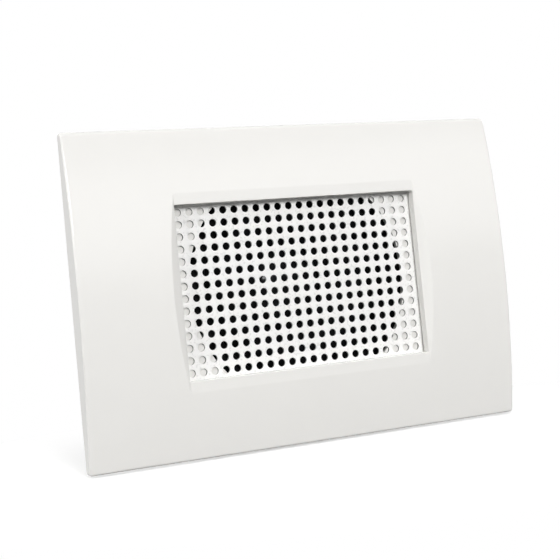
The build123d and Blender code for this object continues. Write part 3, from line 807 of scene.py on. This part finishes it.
class SPEAKER_OT_soft_rings(bpy.types.Operator):
    """Build the gasket, the surround and the spider"""

    bl_idname = "speaker.soft_rings"
    bl_label = "Soft rings"

    def execute(self, context):
        settings = context.scene.speaker_driver
        self.gasket()
        self.surround(settings)
        self.spider(settings)
        return {"FINISHED"}

    def gasket(self):
        """Foam ring, pressed between the frame and the basket."""
        foam = rubber_finish("foam", FOAM, roughness=0.85, grain_size=0.35 * MM, grain_depth=0.08 * MM)
        inner = frame_bore("front_gasket")
        corners = [(GASKET_HIGH.x, GASKET_LOW.y), (inner, GASKET_LOW.y)]
        corners += [(inner, GASKET_HIGH.y), (GASKET_HIGH.x, GASKET_HIGH.y)]
        section = rounded_section(corners, FOAM_ROUND)
        add_piece("foam_ring", *turned(section), foam, "housing", "foam", ["front_gasket"])

    def surround(self, settings):
        """Half-round roll. Its outer half stays with the basket, and its inner half is built at its place
        without a body.
        """
        rubber = rubber_finish(
            "roll rubber", settings.rubber, roughness=0.55, grain_size=0.5 * MM, grain_depth=0.012 * MM
        )
        foot = SURROUND_HIGH.y - settings.sheet
        lip = np.array([(SURROUND_HIGH.x, foot), (settings.roll_outer + ROLL_FLAT, foot)])
        outer = np.concatenate([lip, roll_line(settings, 0, 0.5)])
        section = sheet_outline(outer, settings.sheet)
        add_piece("surround_outer", *turned(section), rubber, "housing", "roll_rubber", ["surround"])
        lip = np.array([(settings.roll_inner - ROLL_FLAT, foot), (settings.cone_edge, foot)])
        inner = np.concatenate([roll_line(settings, 0.5, 1), lip])
        section = sheet_outline(inner, settings.sheet)
        piece = add_piece("surround_inner", *turned(section), rubber, None, "roll_rubber", ["surround"])
        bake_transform(piece)

    def spider(self, settings):
        """Corrugated cloth ring that sinks towards the former in even waves.

        Its depth grows evenly along the radius, plus a sine wave that dies out at both ends.
        """
        cloth = woven_finish("spider cloth", settings.cloth, pitch=0.5 * MM)
        top = SPIDER_LOW.y
        end = settings.neck_radius + settings.spider_neck
        share = np.linspace(0, 1, WAVE_POINTS * settings.spider_waves)
        radius = settings.spider_start + share * (end - settings.spider_start)
        swell = np.sin(2 * math.pi * settings.spider_waves * share) * np.sin(math.pi * share) ** 0.5
        depth = top + share * settings.spider_rise + settings.spider_wave * swell
        rim = np.linspace(SPIDER_HIGH.x, settings.spider_start + RIM_GAP, RIM_POINTS)
        rim = np.stack([rim, np.full(RIM_POINTS, top)], axis=1)
        neck = top + settings.spider_rise
        line = np.concatenate([rim, np.stack([radius, depth], axis=1), [(settings.neck_radius, neck)]])
        section = sheet_outline(line, settings.sheet)
        piece = add_piece("spider_cloth", *turned(section), cloth, None, "spider_cloth", ["spider"])
        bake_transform(piece)


class SPEAKER_OT_moving_parts(bpy.types.Operator):
    """Finish the cone, the dust cap, the former and the coil"""

    bl_idname = "speaker.moving_parts"
    bl_label = "Moving parts"

    def execute(self, context):
        paper = context.scene.speaker_driver.paper
        finish = rubber_finish(
            "cone paper", paper, roughness=0.7, grain_size=0.25 * MM, grain_depth=0.05 * MM
        )
        give_finish(finish, "cone")
        give_finish(cap_finish(), "dust_cap")
        give_finish(metal_finish("former foil"), "coil_former")
        give_finish(wound_copper_finish("coil wire", pitch=0.3 * MM), "voice_coil")
        return {"FINISHED"}


class SPEAKER_OT_chassis(bpy.types.Operator):
    """Finish the pressed basket and its screws"""

    bl_idname = "speaker.chassis"
    bl_label = "Chassis"

    def execute(self, context):
        give_finish(metal_finish("pressed steel"), "basket")
        give_finish(metal_finish("screw steel"), "driver_screws")
        return {"FINISHED"}


class SPEAKER_OT_motor(bpy.types.Operator):
    """Finish the magnet and its two steel pieces"""

    bl_idname = "speaker.motor"
    bl_label = "Motor"

    def execute(self, context):
        give_finish(turned_steel_finish(), "top_plate", "pole_yoke")
        give_finish(ferrite_finish(), "magnet")
        return {"FINISHED"}


LEAD_START = np.array([0.06, -0.4]) * MM  # from the left and back of a lead's box to its line, in X and Y
LEAD_END = np.array([-0.16, 0.59]) * MM  # from the right and front of the box
LEAD_OFF_TAG = np.array([(4.2, -0.6), (7.0, -8.0)]) * MM  # corners after the start
LEAD_ONTO_CONE = np.array([(-6.6, -0.2), (-2.0, 0.9)]) * MM  # corners before the end
LEAD_BEND = 1.6 * MM  # reach of a bend from its corner
LEAD_POINTS = 8  # along a bend
LEAD_SIDES = 12  # round a lead


def lead_path(low, high):
    """Line of a lead: off its tag, down through a window of the basket and over to the back of the cone."""
    start = np.array([low.x, high.y]) + LEAD_START
    end = np.array([high.x, low.y]) + LEAD_END
    corners = np.array([start, *(start + LEAD_OFF_TAG), *(end + LEAD_ONTO_CONE), end])
    line = rounded_line(corners, LEAD_BEND, LEAD_POINTS)
    return np.column_stack([line, np.full(len(line), (low.z + high.z) / 2)])


def tube(path, radius):
    """Points and faces of a round tube along a line that lies in a plane of constant Z, with closed ends.

    A ring's points are the line's point, plus the radius times the cosine of the turn to the line's side and
    times its sine along Z.
    """
    along = np.gradient(path, axis=0)
    along /= np.linalg.norm(along, axis=1)[:, None]
    upward = np.array([0.0, 0.0, 1.0])
    side = np.cross(along, upward)
    turn = np.linspace(0, 2 * math.pi, LEAD_SIDES, endpoint=False)[None, :, None]
    rings = path[:, None] + radius * (np.cos(turn) * side[:, None] + np.sin(turn) * upward)
    ring = np.arange(LEAD_SIDES)
    ends = np.array([ring[::-1], ring + LEAD_SIDES * (len(path) - 1)])
    return rings.reshape(-1, 3), [grid_faces(len(path), LEAD_SIDES), ends]


class SPEAKER_OT_terminals(bpy.types.Operator):
    """Finish the terminal board and build the two braided leads"""

    bl_idname = "speaker.terminals"
    bl_label = "Terminals"

    def execute(self, context):
        radius = context.scene.speaker_driver.lead_radius
        give_finish(board_finish(), "terminal_board")
        give_finish(metal_finish("rivet metal"), "terminal_rivet", "tag_rivets")
        give_finish(metal_finish("tinned brass"), "positive_tag", "negative_tag")
        copper = wound_copper_finish("braided copper", pitch=0.35 * MM)
        for node in ("positive_lead", "negative_lead"):
            path = lead_path(*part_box(node))
            piece = add_piece(f"{node}_braid", *tube(path, radius), copper, None, "copper", [node])
            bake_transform(piece)
        return {"FINISHED"}


LAMPS = (  # name, place, width and height, and the setting that holds the power
    ("front lamp", (-0.256, -2.088, 0.643), (0.50, 0.50), "front_power"),
    ("top lamp", (-0.246, -1.393, 1.685), (1.00, 1.00), "top_power"),
    ("window lamp", (0.905, -1.941, 0.502), (1.20, 0.66), "window_power"),
    ("side lamp", (-1.900, -1.010, 0.457), (0.60, 0.60), "side_power"),
    ("edge lamp", (-1.920, 0.900, 0.500), (0.80, 0.80), "edge_power"),
)
FLOOR_FADE = (0.07, 0.13)  # distances between which the floor turns plain white
FLOOR_REACH = 6.0
FLOOR_DROP = 0.5 * MM  # below the plate's lower edge


def grey(level):
    """A grey as a node's colour."""
    return (level, level, level, 1.0)


def seen_or_mirrored(tree):
    """1 for rays from the camera, from a mirror or through glass, and 0 for the rest."""
    path = add_node(tree, "ShaderNodeLightPath").outputs
    mirrored = calculate(tree, "MAXIMUM", path["Is Camera Ray"], path["Is Glossy Ray"])
    return calculate(tree, "MAXIMUM", mirrored, path["Is Transmission Ray"])


class SPEAKER_OT_stage(bpy.types.Operator):
    """Set up the camera, the lamps, the room's light and the floor"""

    bl_idname = "speaker.stage"
    bl_label = "Stage"

    def execute(self, context):
        settings = context.scene.speaker_stage
        context.scene.view_settings.view_transform = "Standard"
        self.camera(context, settings)
        for name, place, size, power in LAMPS:
            self.lamp(context, name, place, size, getattr(settings, power))
        self.room(context, settings)
        self.floor(context, settings)
        return {"FINISHED"}

    def camera(self, context, settings):
        """Camera that stands where the photograph was taken from."""
        lens = bpy.data.cameras.new("camera")
        lens.sensor_width = 36
        lens.lens = settings.focal_length
        lens.shift_y = settings.shift
        lens.clip_start = 1 * MM
        camera = bpy.data.objects.new("camera", lens)
        forward = np.array(settings.camera_forward)
        forward /= np.linalg.norm(forward)
        right = np.array(settings.camera_right)
        right -= forward * (right @ forward)
        right /= np.linalg.norm(right)
        axes = np.eye(4)
        axes[:3] = np.column_stack([right, np.cross(right, forward), -forward, settings.camera_place])
        camera.matrix_world = Matrix(axes.tolist())
        context.scene.collection.objects.link(camera)
        context.scene.camera = camera

    def lamp(self, context, name, place, size, power):
        """Flat lamp that faces the speaker."""
        light = bpy.data.lights.new(name, "AREA")
        light.shape = "RECTANGLE"
        light.size, light.size_y = size
        light.energy = power
        lamp = bpy.data.objects.new(name, light)
        lamp.location = place
        lamp.rotation_euler = lamp.location.to_track_quat("Z", "Y").to_euler()
        context.scene.collection.objects.link(lamp)

    def room(self, context, settings):
        """Light of the room: brighter overhead and behind, and plain white where it is seen or mirrored."""
        world = bpy.data.worlds.new("room")
        context.scene.world = world
        world.use_nodes = True
        tree = world.node_tree
        direction = coordinates(tree, add_node(tree, "ShaderNodeTexCoord").outputs["Generated"])
        darkest = -settings.light_level / settings.light_rise
        brightest = settings.light_level + settings.light_rise
        overhead = number_range(tree, direction["Z"], high=brightest, start=darkest)
        behind = number_range(tree, direction["Y"], high=settings.light_behind)
        level = calculate(tree, "ADD", overhead, behind)
        strength = mixed_value(tree, "FLOAT", seen_or_mirrored(tree), level, 1.0)
        set_values(tree, tree.nodes["Background"], {"Color": grey(1.0), "Strength": strength})

    def floor(self, context, settings):
        """White floor under the plate's lower edge. It keeps the shadow, and sends little light back up."""
        material = bpy.data.materials.new("floor")
        material.use_nodes = True
        tree = material.node_tree
        tree.nodes.clear()
        lit = add_node(tree, "ShaderNodeBsdfDiffuse", grey(settings.floor_shade)).outputs["BSDF"]
        glow = add_node(tree, "ShaderNodeEmission", Strength=settings.floor_white).outputs["Emission"]
        near = add_node(tree, "ShaderNodeAddShader", lit, glow).outputs["Shader"]
        white = add_node(tree, "ShaderNodeEmission", Strength=1.0).outputs["Emission"]
        bounced = add_node(tree, "ShaderNodeBsdfDiffuse", grey(settings.floor_bounce)).outputs["BSDF"]
        away = distance(tree, add_node(tree, "ShaderNodeTexCoord").outputs["Object"])
        start, end = FLOOR_FADE
        fade = number_range(tree, away, start=start, end=end, interpolation_type="SMOOTHSTEP")
        seen = mixed_shader(tree, fade, near, white)
        surface = mixed_shader(tree, seen_or_mirrored(tree), bounced, seen)
        add_node(tree, "ShaderNodeOutputMaterial", surface)
        corners = np.array([(-1, -1), (1, -1), (1, 1), (-1, 1)]) * FLOOR_REACH
        corners = np.column_stack([corners, np.full(len(corners), PLATE_LOW.z - FLOOR_DROP)])
        mesh = bpy.data.meshes.new("floor")
        mesh.from_pydata(corners.tolist(), [], [(0, 1, 2, 3)])
        mesh.materials.append(material)
        floor = bpy.data.objects.new("floor", mesh)
        context.scene.collection.objects.link(floor)


PIECES = (
    SPEAKER_OT_cover_plate,
    SPEAKER_OT_grille,
    SPEAKER_OT_support_frame,
    SPEAKER_OT_soft_rings,
    SPEAKER_OT_moving_parts,
    SPEAKER_OT_chassis,
    SPEAKER_OT_motor,
    SPEAKER_OT_terminals,
    SPEAKER_OT_stage,
)
SETTINGS = {
    "speaker_plate": PlateSettings,
    "speaker_grille": GrilleSettings,
    "speaker_driver": DriverSettings,
    "speaker_stage": StageSettings,
}


class SPEAKER_PT_pieces(bpy.types.Panel):
    """Lists the settings and the pieces of the speaker"""

    bl_idname = "SPEAKER_PT_pieces"
    bl_label = "In-wall speaker"
    bl_space_type = "VIEW_3D"
    bl_region_type = "UI"
    bl_category = "Speaker"

    def draw(self, context):
        for name, group in SETTINGS.items():
            box = self.layout.box()
            for setting in group.__annotations__:
                box.prop(getattr(context.scene, name), setting)
        for piece in PIECES:
            self.layout.operator(piece.bl_idname)


CLASSES = (*SETTINGS.values(), *PIECES, SPEAKER_PT_pieces)


def register():
    """Register the classes and put the settings on the scene."""
    for kind in CLASSES:
        bpy.utils.register_class(kind)
    for name, group in SETTINGS.items():
        setattr(bpy.types.Scene, name, PointerProperty(type=group))


def unregister():
    """Take the settings off the scene and remove the classes."""
    for name in SETTINGS:
        delattr(bpy.types.Scene, name)
    for kind in reversed(CLASSES):
        bpy.utils.unregister_class(kind)


def main():
    """Build every piece in order."""
    register()
    bpy.ops.speaker.cover_plate()
    bpy.ops.speaker.grille()
    bpy.ops.speaker.support_frame()
    bpy.ops.speaker.soft_rings()
    bpy.ops.speaker.moving_parts()
    bpy.ops.speaker.chassis()
    bpy.ops.speaker.motor()
    bpy.ops.speaker.terminals()
    bpy.ops.speaker.stage()


if __name__ == "__main__":
    main()
